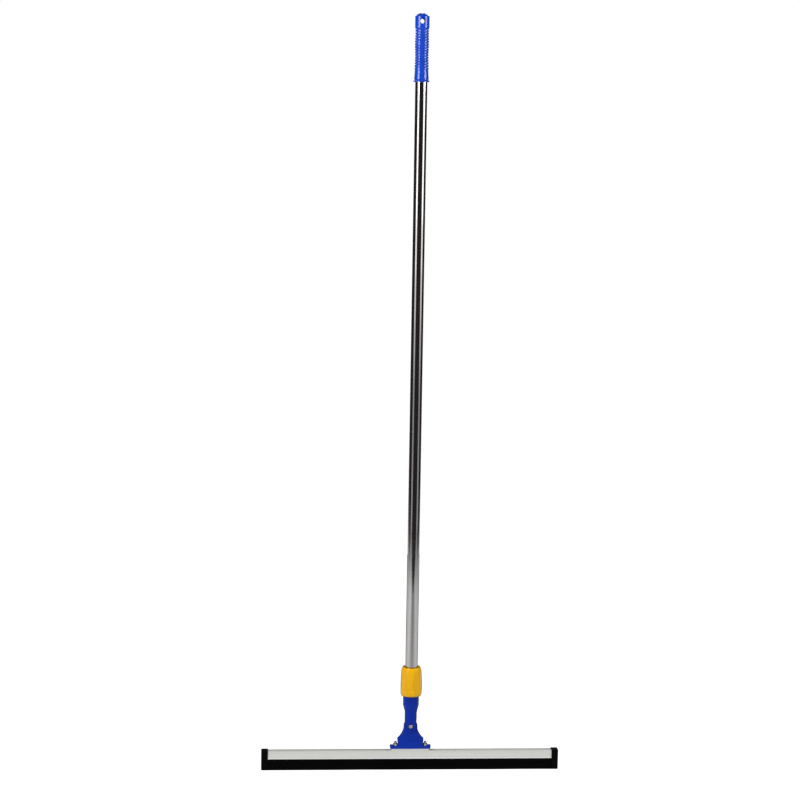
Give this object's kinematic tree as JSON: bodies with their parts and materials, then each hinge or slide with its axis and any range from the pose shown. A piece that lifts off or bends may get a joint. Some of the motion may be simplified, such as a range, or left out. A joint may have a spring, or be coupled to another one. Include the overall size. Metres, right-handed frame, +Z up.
{
  "type": "long-pole squeegee",
  "caption": "Long-handled squeegee with a wide double rubber blade in an aluminium channel, a swivelling plastic head, a screw-lock socket, a steel pole and a hanging grip.",
  "frame": {"origin": "middle of the hanging hole in the grip, 1385.5 mm above the blade's lower edge", "axes": "+Z up along the pole, +X along the blade, -Y the front, where the pivot screw's head is"},
  "size_m": [0.5564, 0.0386, 1.3999],
  "materials": {
    "aluminium": "satin anodised",
    "black_rubber": "matte",
    "black_plastic": "fine moulded texture",
    "blue_plastic": "glossy moulded",
    "yellow_plastic": "semi-gloss moulded",
    "zinc_steel": "bright zinc plate",
    "nylon": "natural",
    "stainless": "polished stainless steel"
  },
  "bodies": {
    "pole": {"pole_tube": "stainless", "pole_end_plug": "black_plastic", "hanging_grip": "blue_plastic"},
    "socket": {"swivel_socket": "blue_plastic", "pivot_screw": "zinc_steel", "pivot_washer": "zinc_steel", "pivot_nut": "zinc_steel", "friction_washers": "nylon"},
    "ring": {"grip_ring": "nylon"},
    "nut": {"lock_nut": "yellow_plastic"},
    "head": {"foot_bracket": "blue_plastic", "fixing_strip": "aluminium", "foot_nuts": "zinc_steel", "foot_washers": "zinc_steel", "channel_bolts": "zinc_steel", "blade_channel": "aluminium", "blade_core": "black_plastic", "blade_front": "black_rubber", "blade_rear": "black_rubber", "end_cap_left": "black_plastic", "end_cap_right": "black_plastic"}
  },
  "joints": [
    {"name": "pole_slide", "type": "slide", "parent": "pole", "child": "socket", "axis": [0, 0, -1], "range_m": [0, 0.07]},
    {"name": "head_swivel", "type": "hinge", "parent": "socket", "child": "head", "pos_m": [0, 0, -1.3025], "axis": [0, 1, 0], "range_deg": [-80, 80]},
    {"name": "nut_advance", "type": "slide", "parent": "socket", "child": "ring", "axis": [0, 0, 1], "range_m": [0, 0.004]},
    {"name": "nut_turn", "type": "hinge", "parent": "ring", "child": "nut", "pos_m": [0, 0, -1.2155], "axis": [0, 0, 1], "range_deg": [0, 360]}
  ],
  "couplings": [
    {"joint": "nut_advance", "follows": "nut_turn", "m_per_rad": 0.0006366}
  ]
}
